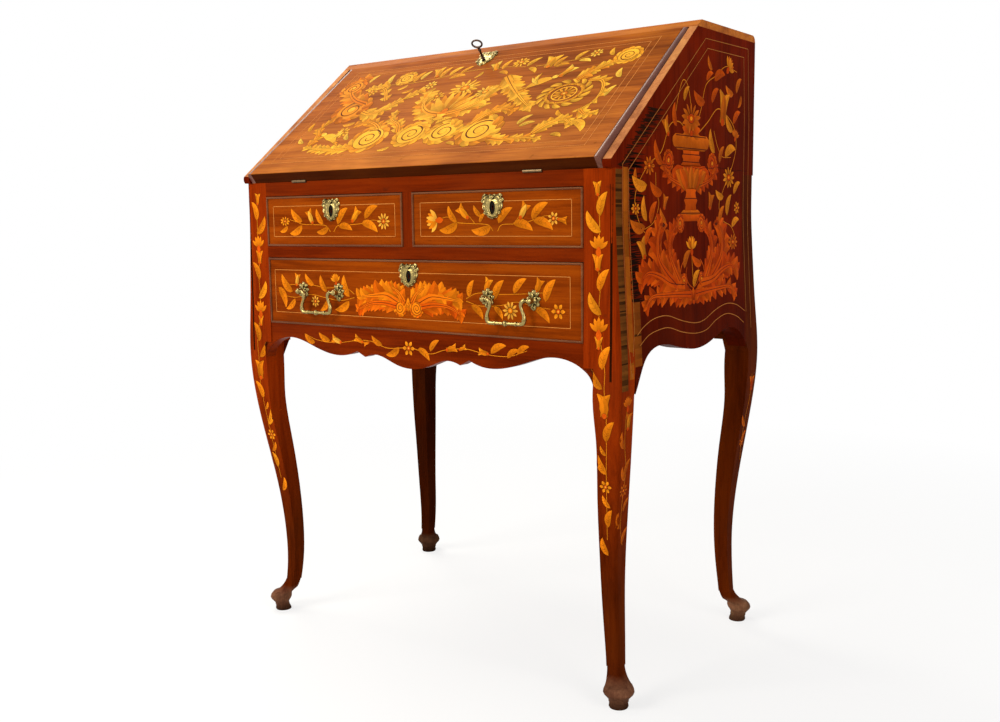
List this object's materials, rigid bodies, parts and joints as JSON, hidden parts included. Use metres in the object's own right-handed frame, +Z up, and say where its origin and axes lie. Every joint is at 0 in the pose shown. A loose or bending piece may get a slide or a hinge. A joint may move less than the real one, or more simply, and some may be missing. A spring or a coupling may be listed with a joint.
{
  "type": "escritoire",
  "caption": "Slant-front writing desk with floral marquetry, drawers with swan-neck bail handles, a lockable fall and cabriole legs on pad feet.",
  "frame": {"origin": "on the floor, under the centre of the bounding box", "axes": "+X to the right of someone facing the desk, +Y to the back, +Z up"},
  "size_m": [0.756, 0.4919, 1.0043],
  "materials": {
    "walnut_veneer": "polished, dark red-brown, with floral marquetry",
    "side_veneer": "polished, with an urn and floral scrolls inlaid",
    "fall_veneer": "polished, dense floral marquetry",
    "crossbanding": "polished",
    "drawer_wood": "plain sawn oak",
    "brass": "aged",
    "iron": "dark, worn"
  },
  "bodies": {
    "case": {"side_left": "side_veneer", "side_right": "side_veneer", "back_panel": "drawer_wood", "top_board": "side_veneer", "lock_rail": "walnut_veneer", "strike_plate": "brass", "desk_floor": "drawer_wood", "dust_board": "drawer_wood", "top_rail": "walnut_veneer", "middle_rail": "walnut_veneer", "muntin": "walnut_veneer", "front_apron": "walnut_veneer", "rear_apron": "drawer_wood", "leg_front_left": "walnut_veneer", "leg_front_right": "walnut_veneer", "leg_rear_left": "walnut_veneer", "leg_rear_right": "walnut_veneer", "knee_brackets": "walnut_veneer", "drawer_runners": "drawer_wood", "drawer_guides": "drawer_wood", "gallery_frame": "drawer_wood", "gallery_partitions": "drawer_wood", "hinge_case_leaves": "brass", "hinge_case_screws": "brass"},
    "fall": {"fall_panel": "fall_veneer", "fall_edge_beads": "crossbanding", "hinge_fall_leaves": "brass", "hinge_fall_screws": "brass", "fall_lock": "iron", "fall_escutcheon": "brass"},
    "fall_bolt": {"fall_lock_bolt": "iron"},
    "key": {"key": "iron"},
    "short_drawer_left": {"short_drawer_left_front": "walnut_veneer", "short_drawer_left_bead": "crossbanding", "short_drawer_left_box": "drawer_wood", "short_drawer_left_lock": "iron", "short_drawer_left_escutcheon": "brass"},
    "short_drawer_left_bolt": {"short_drawer_left_bolt": "iron"},
    "short_drawer_right": {"short_drawer_right_front": "walnut_veneer", "short_drawer_right_bead": "crossbanding", "short_drawer_right_box": "drawer_wood", "short_drawer_right_lock": "iron", "short_drawer_right_escutcheon": "brass"},
    "short_drawer_right_bolt": {"short_drawer_right_bolt": "iron"},
    "long_drawer": {"long_drawer_front": "walnut_veneer", "long_drawer_bead": "crossbanding", "long_drawer_box": "drawer_wood", "long_drawer_lock": "iron", "long_drawer_escutcheon": "brass", "handle_posts": "brass", "handle_nuts": "brass"},
    "long_drawer_bolt": {"long_drawer_bolt": "iron"},
    "bail_left": {"bail_left": "brass"},
    "bail_right": {"bail_right": "brass"},
    "inner_drawer_left": {"inner_drawer_left_front": "drawer_wood", "inner_drawer_left_box": "drawer_wood", "inner_drawer_left_knob": "brass"},
    "inner_drawer_right": {"inner_drawer_right_front": "drawer_wood", "inner_drawer_right_box": "drawer_wood", "inner_drawer_right_knob": "brass"}
  },
  "joints": [
    {"name": "fall_hinge", "type": "hinge", "parent": "case", "child": "fall", "pos_m": [0, -0.22787, 0.7739], "axis": [1, 0, 0], "range_deg": [0, 142.3]},
    {"name": "key_turn", "type": "hinge", "parent": "fall", "child": "key", "pos_m": [-0.016, 0.00856, 0.95663], "axis": [0, -0.6115, 0.7912], "range_deg": [0, 180]},
    {"name": "fall_bolt_slide", "type": "slide", "parent": "fall", "child": "fall_bolt", "axis": [0, 0.7912, 0.6115], "range_m": [0, 0.007]},
    {"name": "short_drawer_left_slide", "type": "slide", "parent": "case", "child": "short_drawer_left", "axis": [0, -1, 0], "range_m": [0, 0.25]},
    {"name": "short_drawer_right_slide", "type": "slide", "parent": "case", "child": "short_drawer_right", "axis": [0, -1, 0], "range_m": [0, 0.25]},
    {"name": "long_drawer_slide", "type": "slide", "parent": "case", "child": "long_drawer", "axis": [0, -1, 0], "range_m": [0, 0.28]},
    {"name": "inner_drawer_left_slide", "type": "slide", "parent": "case", "child": "inner_drawer_left", "axis": [0, -1, 0], "range_m": [0, 0.12]},
    {"name": "inner_drawer_right_slide", "type": "slide", "parent": "case", "child": "inner_drawer_right", "axis": [0, -1, 0], "range_m": [0, 0.12]},
    {"name": "short_drawer_left_bolt_slide", "type": "slide", "parent": "short_drawer_left", "child": "short_drawer_left_bolt", "axis": [0, 0, 1], "range_m": [0, 0.0045]},
    {"name": "short_drawer_right_bolt_slide", "type": "slide", "parent": "short_drawer_right", "child": "short_drawer_right_bolt", "axis": [0, 0, 1], "range_m": [0, 0.0045]},
    {"name": "long_drawer_bolt_slide", "type": "slide", "parent": "long_drawer", "child": "long_drawer_bolt", "axis": [0, 0, 1], "range_m": [0, 0.0045]},
    {"name": "bail_left_swing", "type": "hinge", "parent": "long_drawer", "child": "bail_left", "pos_m": [-0.1935, -0.24047, 0.5915], "axis": [-1, 0, 0], "range_deg": [0, 100]},
    {"name": "bail_right_swing", "type": "hinge", "parent": "long_drawer", "child": "bail_right", "pos_m": [0.1935, -0.24047, 0.5915], "axis": [-1, 0, 0], "range_deg": [0, 100]}
  ],
  "couplings": [
    {"joint": "fall_bolt_slide", "follows": "key_turn", "m_per_rad": 0.0022282}
  ]
}
